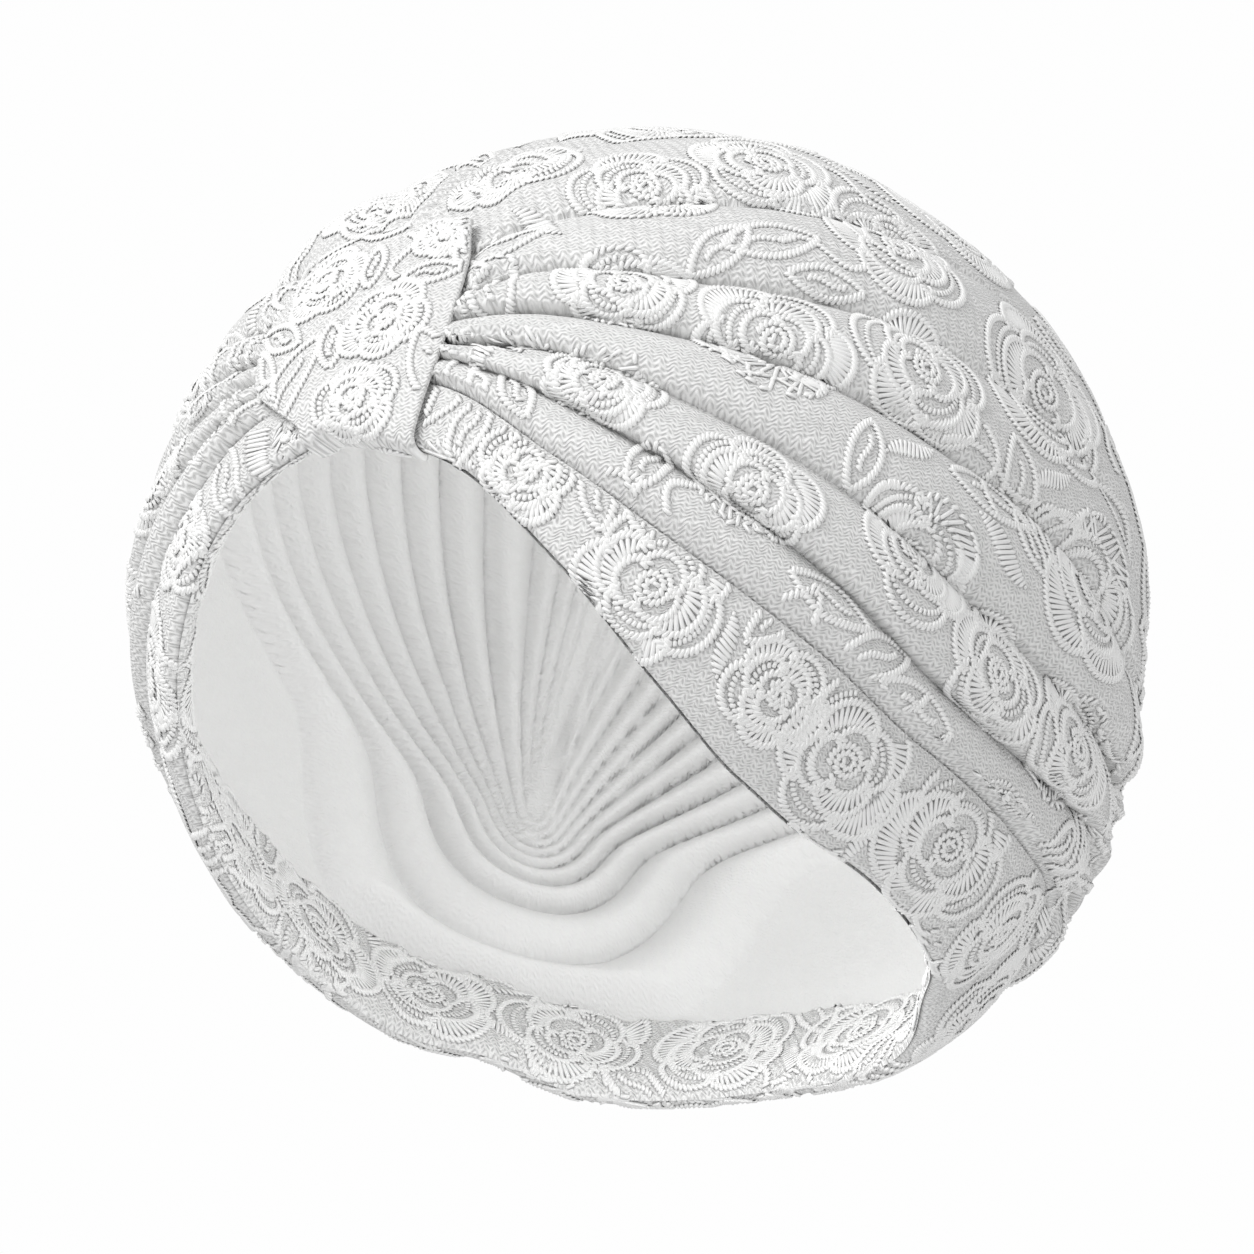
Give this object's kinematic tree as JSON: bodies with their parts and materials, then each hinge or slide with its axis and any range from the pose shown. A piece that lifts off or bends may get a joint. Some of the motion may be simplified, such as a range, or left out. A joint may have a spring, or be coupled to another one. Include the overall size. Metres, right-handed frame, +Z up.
{
  "type": "turban headwrap",
  "caption": "Ready-tied lace turban cap with a front knot, gathered sides, a folded brim band and a pleated knit lining.",
  "frame": {"origin": "the middle of the hollow that the head fills, level with its widest ring", "axes": "+Z up through the crown, -Y out through the forehead, +X to the wearer's left"},
  "size_m": [0.2146, 0.22, 0.1864],
  "materials": {
    "crown_lace": "white corded rose lace on a knit mesh",
    "brim_band": "white corded rose lace, folded double",
    "inner_facing": "white corded rose lace",
    "lining_knit": "soft brushed white knit",
    "front_knot": "white corded rose lace, folded double",
    "gather_left": "white corded lace, bunched",
    "gather_right": "white corded lace, bunched"
  },
  "bodies": {
    "root": {"crown_lace": "crown_lace", "brim_band": "brim_band", "inner_facing": "inner_facing", "lining_knit": "lining_knit", "front_knot": "front_knot", "gather_left": "gather_left", "gather_right": "gather_right"}
  },
  "joints": []
}
